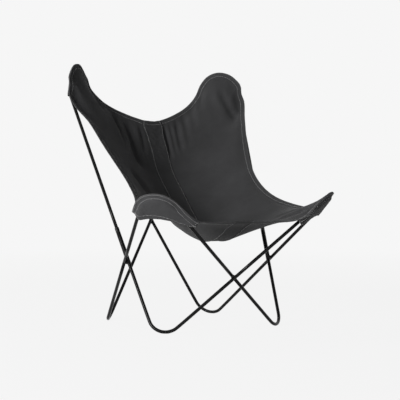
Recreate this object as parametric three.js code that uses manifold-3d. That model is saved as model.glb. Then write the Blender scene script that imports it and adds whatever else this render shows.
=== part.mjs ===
import * as THREE from 'three';
import { mergeVertices } from 'three/addons/utils/BufferGeometryUtils.js';
import Module from 'manifold-3d';

// Butterfly sling chair: two closed loops of bent steel rod cross at four places, and a
// canvas sling hangs from the four horns of the loops in sewn corner pockets.
// +Z is up, the front faces -Y, and the origin is on the floor under the middle.

const wasm = await Module();
wasm.setup();

// Rod and fittings
const rodDiameter = 11;
const sleeveWall = 1.5;
const sleeveLength = 132;
const sleeveBelowCrossing = 8;
const slipClearance = 0.3;
const weldGap = 0.3;
const weldRadius = 8;
const weldDepth = 6;
const footFlatDepth = 0.8;
const gussetThickness = 4;
const gussetDrop = 24;
const gussetRise = 6;
const gussetHollow = 5;

// Frame: where the straight runs of the rods would meet at each bend
const rearHornHalfWidth = 368;
const rearHornBack = 393;
const rearHornHeight = 1031;
const frontHornHalfWidth = 362;
const frontHornForward = 405;
const frontHornHeight = 495;
const rearFootHalfWidth = 212;
const rearFootBack = 258;
const frontFootForward = 210;
const rearHornRadius = 65;
const frontHornRadius = 57;
const frontFootRadius = 58;
const rearFootRadius = 62;
const shoulderRadius = 45;
const shoulderDistance = 278;
const shoulderLean = 26.3;

// Canvas sling
const canvasThickness = 1.4;
const hemThickness = 2.6;
const seamGap = 0.7;
const rodToEdge = 22;
const stripHalfWidth = 30;
const backMiddle = { y: 300, z: 702 };
const seatLow = { y: -130, z: 286 };
const frontMiddle = { y: -352, z: 360 };
const waistInset = 100;
const rearMouthHollow = 12;
const frontMouthHollow = 26;
const edgeOverLeg = 2;
const pocketSlack = 3;
const edgeFade = 12;
const facetReach = 16;
const foldDepth = 5;
const foldWidth = 40;
const foldLength = 200;
const foldOffset = 70;

// Shares, chosen by hand, of the spans that each line of the sling follows
const staggerShare = 0.55;
const flangeShares = [0, 0.5, 0.79, 1.14];
const bumpShares = [0, 0, 0.8, 1];
const leavesArcShare = 0.72;
const leavesLegShare = 0.55;
const backEdgeShares = [[0.19, 0.16, 0.05], [0.43, 0.56, 0.18], [0.64, 0.98, 0.33], [0.8, 1.21, 0.53],
  [0.92, 1.14, 0.77]];
const sideEdgeShares = [[0.15, 0.05, 0.08], [0.34, 0.12, 0.21], [0.73, 0.28, 0.52], [1.01, 0.46, 0.78],
  [0.92, 0.65, 0.96], [0.42, 0.83, 1.05], [0.05, 0.95, 1.066]];
const frontEdgeShares = [[0.19, -0.24, 0.54], [0.35, -0.12, 0.96], [0.51, 0.24, 1.01], [0.66, 0.66, 1.01],
  [0.8, 0.9, 1.03]];
const backProfileShares = [[0.045, 0.1], [0.133, 0.24], [0.223, 0.415], [0.307, 0.51], [0.433, 0.625],
  [0.61, 0.8], [0.8, 0.94]];
const frontProfileShares = [[0.41, 0.15], [0.69, 0.57], [0.84, 0.87]];
const rearPocketShares = [0.4, 0.145];
const frontPocketShares = [0.455, 0.115];
const clothLiftShare = 1.5;
const stiffnessShare = 0.4;
const tensionShare = 0.02;
const crowdingShare = 0.35;

// Counts
const rodSides = 12;
const bendDegrees = 12;
const sleeveSides = 20;
const beadSides = 20;
const beadRings = 12;
const gussetCurveSteps = 6;
const edgeArcSteps = 5;
const rodPathSteps = 24;
const acrossSteps = 12;
const downSteps = 26;
const pocketSteps = 4;
const inwardSteps = 3;
const middleFadeRows = 4;
const settlePasses = 40;
const relaxPasses = 3000;
const rimPasses = 3;

const rodRadius = rodDiameter / 2;
const boreRadius = (rodRadius + slipClearance) / Math.cos(Math.PI / sleeveSides);
const sleeveRadius = boreRadius + sleeveWall;
const stagger = rodDiameter * staggerShare;
const clothLift = rodRadius + slipClearance + clothLiftShare * canvasThickness;
const sheetRise = (hemThickness + seamGap) / 2;
const pocketDrop = (canvasThickness + seamGap) / 2;

const colours = { steel: 0x121212, canvas: 0x2a2a2c, strip: 0x262628, pocket: 0x343436 };

const point = (x, y, z) => new THREE.Vector3(x, y, z);
const mix = (a, b, share) => a.clone().lerp(b, share);
const unit = (from, to) => to.clone().sub(from).normalize();

// Nearest points of two straight lines, each given by two points
function nearest(a, b, c, d) {
  const first = unit(a, b);
  const second = unit(c, d);
  const normal = first.clone().cross(second);
  const across = c.clone().sub(a);
  const size = normal.lengthSq();
  const alongFirst = across.clone().cross(second).dot(normal) / size;
  const alongSecond = across.clone().cross(first).dot(normal) / size;
  const onFirst = a.clone().addScaledVector(first, alongFirst);
  const onSecond = c.clone().addScaledVector(second, alongSecond);
  return { onFirst, onSecond, distance: onFirst.distanceTo(onSecond) };
}

// The circle that a bend follows between two straight runs
function bendCircle(corner, before, after, radius) {
  const toBefore = unit(corner, before);
  const toAfter = unit(corner, after);
  const half = toBefore.angleTo(toAfter) / 2;
  const inward = toBefore.clone().add(toAfter).normalize();
  const centre = corner.clone().addScaledVector(inward, radius / Math.sin(half));
  const start = corner.clone().addScaledVector(toBefore, radius / Math.tan(half));
  const spoke = start.clone().sub(centre);
  const travel = toBefore.clone().negate();
  const axis = spoke.clone().cross(travel).normalize();
  return { centre, spoke, travel, axis, turn: Math.PI - 2 * half, radius };
}

function onBend(circle, share) {
  const angle = circle.turn * share;
  const at = circle.spoke.clone().applyAxisAngle(circle.axis, angle).add(circle.centre);
  const tangent = circle.travel.clone().applyAxisAngle(circle.axis, angle);
  return { at, tangent };
}

// A bent rod's centre line as rings: one at each end and a row of them round each bend
function bentLine(corners) {
  const last = corners.length - 1;
  const rings = [];
  corners.forEach(({ at, radius }, index) => {
    if (index === 0 || index === last) {
      const tangent = index === 0 ? unit(at, corners[1].at) : unit(corners[last - 1].at, at);
      rings.push({ at, tangent });
      return;
    }
    const circle = bendCircle(at, corners[index - 1].at, corners[index + 1].at, radius);
    const steps = Math.ceil(THREE.MathUtils.radToDeg(circle.turn) / bendDegrees);
    for (let step = 0; step <= steps; step += 1) {
      rings.push(onBend(circle, step / steps));
    }
  });
  return rings;
}

// A curve that has its sections exactly at the rings, so that straight runs take no extra faces
class RingCurve extends THREE.Curve {
  constructor(rings) {
    super();
    this.rings = rings;
  }

  ring(share) {
    return this.rings[Math.round(share * (this.rings.length - 1))];
  }

  getPoint(share) {
    return this.ring(share).at.clone();
  }

  getTangent(share) {
    return this.ring(share).tangent.clone();
  }

  getUtoTmapping(share) {
    return share;
  }
}

function roundSection(radius, sides) {
  const corners = [];
  for (let side = 0; side < sides; side += 1) {
    const angle = (2 * Math.PI * side) / sides;
    corners.push(new THREE.Vector2(radius * Math.cos(angle), radius * Math.sin(angle)));
  }
  return new THREE.Shape(corners);
}

function rodGeometry(rings, radius = rodRadius) {
  return new THREE.ExtrudeGeometry(roundSection(radius, rodSides), {
    steps: rings.length - 1,
    bevelEnabled: false,
    extrudePath: new RingCurve(rings),
  });
}

// Solids that can be cut and joined
function toSolid(geometry) {
  const bare = geometry.clone();
  bare.deleteAttribute('normal');
  bare.deleteAttribute('uv');
  const merged = mergeVertices(bare);
  return new wasm.Manifold(new wasm.Mesh({
    numProp: 3,
    vertProperties: new Float32Array(merged.attributes.position.array),
    triVerts: new Uint32Array(merged.index.array),
  }));
}

function fromSolid(solid) {
  const mesh = solid.getMesh();
  const geometry = new THREE.BufferGeometry();
  geometry.setAttribute('position', new THREE.BufferAttribute(mesh.vertProperties, 3));
  geometry.setIndex(new THREE.BufferAttribute(mesh.triVerts, 1));
  return geometry;
}

// Frame corners. Loop -1 has its rear horn on the left, loop 1 on the right. Each loop is
// staggered fore and aft by half a rod, so that the rods lie against each other where they cross.
function footCorner(x, y, before, after, radius) {
  const corner = point(x, y, 0);
  for (let pass = 0; pass < settlePasses; pass += 1) {
    const circle = bendCircle(corner, before, after, radius);
    const level = Math.sqrt(1 - circle.axis.z * circle.axis.z);
    corner.z += rodRadius - footFlatDepth - (circle.centre.z - radius * level);
  }
  return corner;
}

function loopCorners(side, frontFootHalfWidth) {
  const shift = side * stagger;
  const rearHorn = point(side * rearHornHalfWidth, rearHornBack - shift, rearHornHeight);
  const frontHorn = point(-side * frontHornHalfWidth, -frontHornForward + shift, frontHornHeight);
  const frontX = side * frontFootHalfWidth;
  const rearX = -side * rearFootHalfWidth;
  const frontFoot = footCorner(frontX, -frontFootForward + shift, rearHorn, frontHorn, frontFootRadius);
  const rearFoot = footCorner(rearX, rearFootBack - shift, frontHorn, rearHorn, rearFootRadius);
  return { rearHorn, frontHorn, frontFoot, rearFoot };
}

// The front feet stand as wide as lets each sleeve just touch the rod that it crosses
function touchingHalfWidth() {
  const wanted = sleeveRadius + rodRadius + weldGap;
  const room = (own, opposite, side) => {
    const near = nearest(own.rearHorn, own.frontFoot, opposite.frontHorn, opposite.rearFoot);
    return near.distance * Math.sign(side * (near.onSecond.x - near.onFirst.x));
  };
  let halfWidth = rearFootHalfWidth;
  for (let pass = 0; pass < settlePasses; pass += 1) {
    const left = loopCorners(-1, halfWidth);
    const right = loopCorners(1, halfWidth);
    halfWidth += Math.min(room(left, right, -1), room(right, left, 1)) - wanted;
  }
  return halfWidth;
}

const frontFootHalfWidth = touchingHalfWidth();
const loops = { left: loopCorners(-1, frontFootHalfWidth), right: loopCorners(1, frontFootHalfWidth) };
const other = { left: 'right', right: 'left' };

// The rear horns lean forward from a shoulder bend in each of their two legs
function leanForward(corner, outerEnd, innerEnd) {
  const outer = corner.clone().addScaledVector(unit(corner, outerEnd), shoulderDistance);
  const inner = corner.clone().addScaledVector(unit(corner, innerEnd), shoulderDistance);
  const hinge = unit(outer, inner);
  const middle = mix(outer, inner, 0.5);
  const angle = THREE.MathUtils.degToRad(shoulderLean);
  const raised = corner.clone().sub(middle);
  const forward = raised.clone().applyAxisAngle(hinge, angle);
  const backward = raised.clone().applyAxisAngle(hinge, -angle);
  const tip = (forward.y < backward.y ? forward : backward).add(middle);
  return { outer, inner, tip };
}

// A horn: its bend, the side of its plane that the sling lies on, and its rod's centre line
function makeHorn(tip, outer, inner, radius, towards) {
  const circle = bendCircle(tip, outer, inner, radius);
  const normal = circle.axis.clone();
  if (normal.dot(towards) < 0) {
    normal.negate();
  }
  return { tip, circle, normal, outer, inner };
}

const horns = {};
for (const side of ['left', 'right']) {
  const own = loops[side];
  const opposite = loops[other[side]];
  const lean = leanForward(own.rearHorn, own.frontFoot, own.rearFoot);
  horns[`rear_${side}`] = {
    ...makeHorn(lean.tip, lean.outer, lean.inner, rearHornRadius, point(0, -1, 0)),
    outerEnd: own.frontFoot,
    innerEnd: own.rearFoot,
  };
  horns[`front_${side}`] = {
    ...makeHorn(opposite.frontHorn, opposite.rearFoot, opposite.frontFoot, frontHornRadius, point(0, 0, 1)),
    outerEnd: opposite.rearFoot,
    innerEnd: opposite.frontFoot,
  };
}

// Crossings, named by where they lie; the first point is on the loop of the name given
const crossing = {
  left: nearest(loops.left.rearHorn, loops.left.frontFoot, loops.right.frontHorn, loops.right.rearFoot),
  right: nearest(loops.right.rearHorn, loops.right.frontFoot, loops.left.frontHorn, loops.left.rearFoot),
  front: nearest(loops.left.frontHorn, loops.left.frontFoot, loops.right.frontHorn, loops.right.frontFoot),
  back: nearest(loops.left.rearHorn, loops.left.rearFoot, loops.right.rearHorn, loops.right.rearFoot),
};

const chair = new THREE.Group();
const materials = {
  steel: new THREE.MeshStandardMaterial({ color: colours.steel, roughness: 0.45, metalness: 0.2 }),
  canvas: new THREE.MeshStandardMaterial({ color: colours.canvas, roughness: 0.95, metalness: 0 }),
  strip: new THREE.MeshStandardMaterial({ color: colours.strip, roughness: 0.95, metalness: 0 }),
  pocket: new THREE.MeshStandardMaterial({ color: colours.pocket, roughness: 0.95, metalness: 0 }),
};

function addPiece(name, geometry, material) {
  const mesh = new THREE.Mesh(geometry, material.clone());
  mesh.name = name;
  chair.add(mesh);
}

// Bent rods. Each loop is made of four bent lengths that meet end to end, one pair inside the
// sleeve and the others at the crossings, where their joints are hidden.
const endGap = weldGap / 2;

function sleeveMiddle(side) {
  const up = unit(loops[side].frontFoot, loops[side].rearHorn);
  return crossing[side].onFirst.clone().addScaledVector(up, sleeveLength / 2 - sleeveBelowCrossing);
}

function rodEnd(at, towards) {
  return { at: at.clone().addScaledVector(unit(at, towards), endGap) };
}

const rodLines = {};
for (const side of ['left', 'right']) {
  const opposite = other[side];
  const own = loops[side];
  const ownPoint = side === 'left' ? 'onFirst' : 'onSecond';
  const sleeve = sleeveMiddle(side);
  const backJoint = crossing.back[ownPoint];
  const frontJoint = crossing.front[ownPoint];
  const sideJoint = crossing[opposite].onSecond;
  const rear = horns[`rear_${side}`];
  rodLines[`rear_horn_rod_${side}`] = bentLine([
    rodEnd(sleeve, rear.outer),
    { at: rear.outer, radius: shoulderRadius },
    { at: rear.tip, radius: rearHornRadius },
    { at: rear.inner, radius: shoulderRadius },
    rodEnd(backJoint, rear.inner),
  ]);
  rodLines[`rear_leg_rod_${opposite}`] = bentLine([
    rodEnd(backJoint, own.rearFoot),
    { at: own.rearFoot, radius: rearFootRadius },
    rodEnd(sideJoint, own.rearFoot),
  ]);
  rodLines[`front_horn_rod_${opposite}`] = bentLine([
    rodEnd(sideJoint, own.frontHorn),
    { at: own.frontHorn, radius: frontHornRadius },
    rodEnd(frontJoint, own.frontHorn),
  ]);
  rodLines[`front_leg_rod_${side}`] = bentLine([
    rodEnd(frontJoint, own.frontFoot),
    { at: own.frontFoot, radius: frontFootRadius },
    rodEnd(sleeve, own.frontFoot),
  ]);
}

const floorSize = 4 * rearHornHeight;
const floor = new THREE.BoxGeometry(floorSize, floorSize, rearHornHeight);
floor.translate(0, 0, -rearHornHeight / 2);
const floorSolid = toSolid(floor);

for (const [name, rings] of Object.entries(rodLines)) {
  const geometry = rodGeometry(rings);
  const standing = name.includes('leg');
  addPiece(name, standing ? fromSolid(toSolid(geometry).subtract(floorSolid)) : geometry, materials.steel);
}

// Sleeves: a tube over the two rod ends, just above each side crossing
function alignTo(geometry, from, to) {
  const turn = new THREE.Quaternion().setFromUnitVectors(point(0, 0, 1), unit(from, to));
  geometry.applyQuaternion(turn);
  geometry.translate(from.x, from.y, from.z);
  return geometry;
}

for (const side of ['left', 'right']) {
  const half = sleeveLength / 2;
  const profile = [
    new THREE.Vector2(boreRadius, -half),
    new THREE.Vector2(sleeveRadius, -half),
    new THREE.Vector2(sleeveRadius, half),
    new THREE.Vector2(boreRadius, half),
    new THREE.Vector2(boreRadius, -half),
  ];
  const tube = new THREE.LatheGeometry(profile, sleeveSides);
  tube.rotateX(Math.PI / 2);
  addPiece(`rod_sleeve_${side}`, alignTo(tube, sleeveMiddle(side), loops[side].rearHorn), materials.steel);
}

// Weld beads in the corners of the crossings, cut to lie against both rods
function rodCutter(a, b, radius) {
  const rings = [{ at: a, tangent: unit(a, b) }, { at: b, tangent: unit(a, b) }];
  return toSolid(rodGeometry(rings, radius / Math.cos(Math.PI / rodSides)));
}

function addWeld(name, place, first, firstRadius, second) {
  const bead = new THREE.SphereGeometry(1, beadSides, beadRings);
  const thickness = place.distance / 2 + weldDepth / 2;
  bead.scale(weldRadius, weldRadius, thickness);
  const middle = mix(place.onFirst, place.onSecond, 0.5);
  let solid = toSolid(alignTo(bead, middle, place.onSecond));
  solid = solid.subtract(rodCutter(first[0], first[1], firstRadius + weldGap));
  solid = solid.subtract(rodCutter(second[0], second[1], rodRadius + weldGap));
  addPiece(name, fromSolid(solid), materials.steel);
}

addWeld('weld_front_crossing', crossing.front, [loops.left.frontHorn, loops.left.frontFoot], rodRadius,
  [loops.right.frontHorn, loops.right.frontFoot]);
for (const side of ['left', 'right']) {
  addWeld(`weld_side_crossing_${side}`, crossing[side], [loops[side].rearHorn, loops[side].frontFoot],
    sleeveRadius, [loops[other[side]].frontHorn, loops[other[side]].rearFoot]);
}

// Gusset plate in the fork under the back crossing, cut to lie against both rods
function gussetGeometry() {
  const { onFirst, onSecond } = crossing.back;
  const middle = mix(onFirst, onSecond, 0.5);
  const leftLeg = unit(loops.left.rearHorn, loops.left.rearFoot);
  const spread = Math.abs(leftLeg.x / leftLeg.z);
  const halfWidth = gussetDrop * spread;
  const outline = new THREE.Shape();
  outline.moveTo(-gussetRise * spread, gussetRise);
  outline.lineTo(-halfWidth, -gussetDrop);
  outline.quadraticCurveTo(0, -gussetDrop + gussetHollow, halfWidth, -gussetDrop);
  outline.lineTo(gussetRise * spread, gussetRise);
  const plate = new THREE.ExtrudeGeometry(outline, {
    depth: gussetThickness,
    bevelEnabled: false,
    curveSegments: gussetCurveSteps,
  });
  plate.translate(0, 0, -gussetThickness / 2);
  plate.rotateX(Math.PI / 2 + Math.atan2(leftLeg.y, -leftLeg.z));
  plate.translate(middle.x, middle.y, middle.z);
  let solid = toSolid(plate);
  for (const side of ['left', 'right']) {
    solid = solid.subtract(rodCutter(loops[side].rearHorn, loops[side].rearFoot, rodRadius + weldGap));
  }
  const bodies = solid.decompose().sort((a, b) => b.volume() - a.volume());
  return fromSolid(bodies[0]);
}

addPiece('back_gusset_plate', gussetGeometry(), materials.steel);

// Sling. Each half is a net of points: its middle columns follow the seat's centre line, its
// rim follows the cut edge, and the net between them settles like stretched cloth.
const between = (a, b) => ([x, y, z]) => b.clone().sub(a).multiply(point(x, y, z)).add(a);
const smooth = (places) => new THREE.CatmullRomCurve3(places, false, 'centripetal');
const backEdgeMiddle = point(0, backMiddle.y, backMiddle.z);
const frontEdgeMiddle = point(0, frontMiddle.y, frontMiddle.z);

function centreLine() {
  const low = point(0, seatLow.y, seatLow.z);
  const fall = between(backEdgeMiddle, low);
  const rise = between(low, frontEdgeMiddle);
  return smooth([
    backEdgeMiddle,
    ...backProfileShares.map(([y, z]) => fall([0, y, z])),
    low,
    ...frontProfileShares.map(([y, z]) => rise([0, y, z])),
    frontEdgeMiddle,
  ]);
}

const seatLine = centreLine();

// A place beside a horn's rod: out from it in the plane of the horn, and lifted off that plane
function besideRod({ at, outward }, out, normal, rise) {
  return at.clone().addScaledVector(outward, out).addScaledVector(normal, rise);
}

// The cut edge where it runs round a horn, outside its rod
function edgeArc(horn, from, to) {
  const places = [];
  for (let step = 0; step <= edgeArcSteps; step += 1) {
    const { at } = onBend(horn.circle, from + ((to - from) * step) / edgeArcSteps);
    places.push(besideRod({ at, outward: unit(horn.circle.centre, at) }, rodToEdge, horn.normal, sheetRise));
  }
  return places;
}

// The cut edge of one half in three spans that meet at the tips of its two horns
function edgeSpans(side) {
  const sign = side === 'left' ? -1 : 1;
  const rear = horns[`rear_${side}`];
  const front = horns[`front_${side}`];
  const tip = 0.5;
  const rearArc = edgeArc(rear, leavesArcShare, tip);
  const frontArc = edgeArc(front, tip, leavesArcShare);
  const legEnd = onBend(rear.circle, 0).at;
  const beside = { at: rear.outer, outward: unit(rear.circle.centre, legEnd) };
  const shoulder = besideRod(beside, rodToEdge, rear.normal, sheetRise);
  const leaving = { at: mix(legEnd, rear.outer, leavesLegShare), outward: beside.outward };
  const overLeg = besideRod(leaving, edgeOverLeg, rear.normal, clothLift);
  const rearLeg = edgeArc(rear, tip, 0);
  const frontLeg = edgeArc(front, 0, tip);
  const waist = between(shoulder, frontLeg[0]);
  return {
    back: smooth([backEdgeMiddle, ...backEdgeShares.map(between(backEdgeMiddle, rearArc[0])), ...rearArc]),
    side: smooth([
      ...rearLeg,
      overLeg,
      ...sideEdgeShares.map(([inset, y, z]) => waist([y, y, z]).add(point(-sign * waistInset * inset, 0, 0))),
      ...frontLeg,
    ]),
    front: smooth([
      ...frontArc,
      ...frontEdgeShares.map(between(frontArc[frontArc.length - 1], frontEdgeMiddle)),
      frontEdgeMiddle,
    ]),
  };
}

// The rim of one half as places from the back's middle round both horns to the front's middle,
// closer together towards the tips
function rimOf(side) {
  const spans = edgeSpans(side);
  const toTip = (share) => share + crowdingShare * share * (1 - share);
  const betweenTips = (share) => share - (crowdingShare * Math.sin(2 * Math.PI * share)) / (2 * Math.PI);
  const columns = acrossSteps - 1;
  const backStart = stripHalfWidth / spans.back.getLength();
  const frontStart = stripHalfWidth / spans.front.getLength();
  const rim = [{ edge: spans.back.getPointAt(0) }];
  for (let step = 0; step <= columns; step += 1) {
    rim.push({ edge: spans.back.getPointAt(backStart + (1 - backStart) * toTip(step / columns)) });
  }
  for (let step = 1; step <= downSteps; step += 1) {
    rim.push({ edge: spans.side.getPointAt(betweenTips(step / downSteps)) });
  }
  for (let step = 1; step <= columns; step += 1) {
    const fromMiddle = frontStart + (1 - frontStart) * toTip(1 - step / columns);
    rim.push({ edge: spans.front.getPointAt(1 - fromMiddle) });
  }
  rim.push({ edge: spans.front.getPointAt(1) });
  rim.forEach((place, index) => {
    const before = rim[Math.max(index - 1, 0)].edge;
    const after = rim[Math.min(index + 1, rim.length - 1)].edge;
    place.along = unit(before, after);
    if (index === 0 || index === rim.length - 1) {
      place.along = point(Math.sign(place.along.x), 0, 0);
    }
  });
  return rim;
}

// A horn's rod as a row of places from one leg round the bend to the other, each with the
// way out of the horn there
function rodPath({ circle, outer, inner, outerEnd, innerEnd }) {
  const path = [];
  for (let step = 0; step <= rodPathSteps; step += 1) {
    const { at } = onBend(circle, step / rodPathSteps);
    path.push({ at, outward: unit(circle.centre, at) });
  }
  const first = path[0].outward;
  const last = path[rodPathSteps].outward;
  path.unshift({ at: outer, outward: first });
  path.push({ at: inner, outward: last });
  if (outerEnd.distanceTo(outer) > rodDiameter) {
    path.unshift({ at: outerEnd, outward: first });
    path.push({ at: innerEnd, outward: last });
  }
  return path;
}

function nearestOnRod(place, horn) {
  let best = null;
  for (let index = 1; index < horn.path.length; index += 1) {
    const [from, to] = [horn.path[index - 1], horn.path[index]];
    const line = new THREE.Line3(from.at, to.at);
    const share = line.closestPointToPointParameter(place, true);
    const at = line.at(share, point(0, 0, 0));
    const distance = at.distanceTo(place);
    if (best === null || distance < best.distance) {
      best = { at, distance, outward: mix(from.outward, to.outward, share).normalize() };
    }
  }
  return best;
}

for (const horn of Object.values(horns)) {
  horn.path = rodPath(horn);
}

// Moves a place on the cloth away from a horn's rod, to the side that the cloth is on. Where
// places are far apart, the lift spreads as far as one of them stands for.
function clearOfRod(place, horn, direction, spread = 0) {
  const away = place.clone().sub(nearestOnRod(place, horn).at);
  const height = away.dot(direction);
  const sideways = Math.sqrt(Math.max(away.lengthSq() - height * height, 0));
  const beyond = Math.max(sideways - spread, 0);
  const wanted = Math.sqrt(Math.max(clothLift * clothLift - beyond * beyond, 0));
  const tooNear = beyond < clothLift && height < wanted;
  return tooNear ? place.clone().addScaledVector(direction, wanted - height) : place;
}

// Which way each place of the rim runs in across the cloth, and how far it wraps its rod
function faceRim(rim, side, net) {
  const half = Math.floor(rim.length / 2);
  rim.forEach((place, index) => {
    const horn = horns[`${index < half ? 'rear' : 'front'}_${side}`];
    place.horn = horn;
    place.near = nearestOnRod(place.edge, horn);
    const out = place.edge.clone().sub(place.near.at).dot(place.near.outward);
    const apart = Math.abs(place.near.distance * Math.sign(out) - rodToEdge);
    place.wrap = THREE.MathUtils.clamp(2 - (2 * apart) / edgeFade, 0, 1);
    const inPlane = horn.normal.clone().cross(place.along);
    if (inPlane.dot(unit(place.edge, horn.circle.centre)) < 0) {
      inPlane.negate();
    }
    const inner = unit(place.edge, innerNeighbour(net, index));
    const free = inner.addScaledVector(place.along, -inner.dot(place.along)).normalize();
    place.inward = mix(free, inPlane, place.wrap).normalize();
    place.up = place.along.clone().cross(place.inward).normalize();
    if (place.up.dot(horn.normal) < 0) {
      place.up.negate();
    }
  });
}

// A place of the net well inside the rim, for the way in from the rim's place of that number
function innerNeighbour(net, index) {
  const lastColumn = acrossSteps - inwardSteps;
  const lastRow = downSteps - inwardSteps;
  if (index <= acrossSteps) {
    return net[Math.min(index, lastColumn + 1)][inwardSteps];
  }
  if (index < acrossSteps + downSteps) {
    return net[lastColumn][THREE.MathUtils.clamp(index - acrossSteps, inwardSteps, lastRow)];
  }
  return net[Math.min(2 * acrossSteps + downSteps - index, lastColumn + 1)][lastRow];
}

// One row of the hem: 0 is the cut edge, and the last row is the rim of the net. Beside a rod
// the row is measured from the rod, and elsewhere from the edge.
function hemRow(place, row) {
  const { horn, edge, inward, near, wrap } = place;
  const rise = sheetRise + (clothLift - sheetRise) * bumpShares[row];
  const free = edge.clone().addScaledVector(inward, rodToEdge * flangeShares[row]);
  const wrapped = besideRod(near, rodToEdge * (1 - flangeShares[row]), horn.normal, rise);
  return clearOfRod(mix(free, wrapped, wrap), horn, horn.normal);
}

// The same row of the pocket's cloth, which starts under the sheet's edge and goes round the
// outside of the rod to hang under it with a little slack
function pocketRow(place, row) {
  const { horn, up, near, wrap } = place;
  const under = wrap < 1 && row > 0 ? 1 : bumpShares[row];
  const drop = pocketDrop + (clothLift + pocketSlack - pocketDrop) * under;
  const wrapped = besideRod(near, rodToEdge * (1 - flangeShares[row]), horn.normal, -drop);
  const free = hemRow(place, 0).addScaledVector(up, -sheetRise - pocketDrop);
  free.addScaledVector(horn.normal, -pocketSlack);
  return row > 0 ? wrapped : clearOfRod(mix(free, wrapped, wrap), horn, horn.normal.clone().negate());
}

function setRim(net, rim) {
  const last = flangeShares.length - 1;
  rim.forEach((place, index) => {
    const at = hemRow(place, last);
    if (index <= acrossSteps) {
      net[index][0] = at;
    } else if (index <= acrossSteps + downSteps) {
      net[acrossSteps][index - acrossSteps] = at;
    } else {
      net[2 * acrossSteps + downSteps - index][downSteps] = at;
    }
  });
}

// The two middle columns lie along the seat's centre line, the second at the strip's edge
function setMiddle(net, side) {
  const sign = side === 'left' ? -1 : 1;
  const inset = (rodToEdge * flangeShares[flangeShares.length - 1]) / seatLine.getLength();
  const backShift = net[1][0].clone().sub(net[0][0]).setX(0);
  const frontShift = net[1][downSteps].clone().sub(net[0][downSteps]).setX(0);
  for (let row = 1; row < downSteps; row += 1) {
    const at = seatLine.getPointAt(inset + ((1 - 2 * inset) * row) / downSteps);
    net[0][row] = at;
    net[1][row] = at.clone().setX(sign * stripHalfWidth)
      .addScaledVector(backShift, Math.max(1 - row / middleFadeRows, 0))
      .addScaledVector(frontShift, Math.max(1 - (downSteps - row) / middleFadeRows, 0));
  }
}

// Lets the free places of the net settle between the middle columns and the rim
function relax(net, side) {
  const mirrored = (at) => point(-at.x, at.y, at.z);
  const pull = net.map((column) => column.map(() => point(0, 0, 0)));
  const sum = point(0, 0, 0);
  for (let pass = 0; pass < relaxPasses; pass += 1) {
    for (let row = 1; row < downSteps; row += 1) {
      for (let column = 0; column < acrossSteps; column += 1) {
        const beside = column === 0 ? mirrored(net[1][row]) : net[column - 1][row];
        sum.copy(beside).add(net[column + 1][row]).add(net[column][row - 1]).add(net[column][row + 1]);
        pull[column][row].copy(sum).divideScalar(4).sub(net[column][row]);
      }
    }
    for (let row = 1; row < downSteps; row += 1) {
      for (let column = 2; column < acrossSteps; column += 1) {
        const own = pull[column][row];
        sum.copy(pull[column - 1][row]).add(pull[column + 1][row]);
        sum.add(pull[column][row - 1]).add(pull[column][row + 1]).divideScalar(4).sub(own);
        net[column][row].addScaledVector(own, tensionShare).addScaledVector(sum, -stiffnessShare);
      }
    }
  }
  for (let row = 1; row < downSteps; row += 1) {
    for (let column = 2; column < acrossSteps; column += 1) {
      const at = net[column][row].addScaledVector(point(0, -1, 0), foldHeight(net[column][row]));
      const horn = horns[`${row < downSteps / 2 ? 'rear' : 'front'}_${side}`];
      net[column][row] = clearOfRod(at, horn, horn.normal, facetReach);
    }
  }
}

// The main folds: one hangs down from the back edge on each side of the middle
function foldHeight(at) {
  const across = (Math.abs(at.x) - foldOffset) / foldWidth;
  const below = (backMiddle.z - at.z) / foldLength;
  return below > 0 && below < 1 ? foldDepth * Math.exp(-across * across) * Math.sin(Math.PI * below) : 0;
}

function settleHalf(side) {
  const rim = rimOf(side);
  const net = [];
  for (let column = 0; column <= acrossSteps; column += 1) {
    net.push([]);
    for (let row = 0; row <= downSteps; row += 1) {
      const onSeat = seatLine.getPointAt(row / downSteps);
      const outer = rim[acrossSteps + row].edge;
      net[column].push(mix(onSeat, outer, column / acrossSteps));
    }
  }
  for (let pass = 0; pass < rimPasses; pass += 1) {
    faceRim(rim, side, net);
    setRim(net, rim);
    setMiddle(net, side);
    relax(net, side);
  }
  return { rim, net };
}

const halves = { left: settleHalf('left'), right: settleHalf('right') };

// A closed solid from grids of places on the middle of a cloth, each with its half thickness.
// Places that fall together are joined, and faces that this flattens are left out.
function clothSolid(grids) {
  const places = [];
  const faces = [];
  const numbers = new Map();
  const numberOf = ({ at, half }) => {
    const key = at.toArray().map((value) => Math.round(value / slipClearance)).join();
    if (!numbers.has(key)) {
      numbers.set(key, places.length);
      places.push({ at, half, normal: point(0, 0, 0) });
    }
    return numbers.get(key);
  };
  for (const rows of grids) {
    const grid = rows.map((row) => row.map(numberOf));
    for (let row = 1; row < grid.length; row += 1) {
      for (let step = 1; step < grid[row].length; step += 1) {
        const [a, b] = grid[row - 1].slice(step - 1, step + 1);
        const [d, c] = grid[row].slice(step - 1, step + 1);
        faces.push([a, b, c], [a, c, d]);
      }
    }
  }
  return thicken(places, faces.filter(([a, b, c]) => a !== b && b !== c && c !== a));
}

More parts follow.
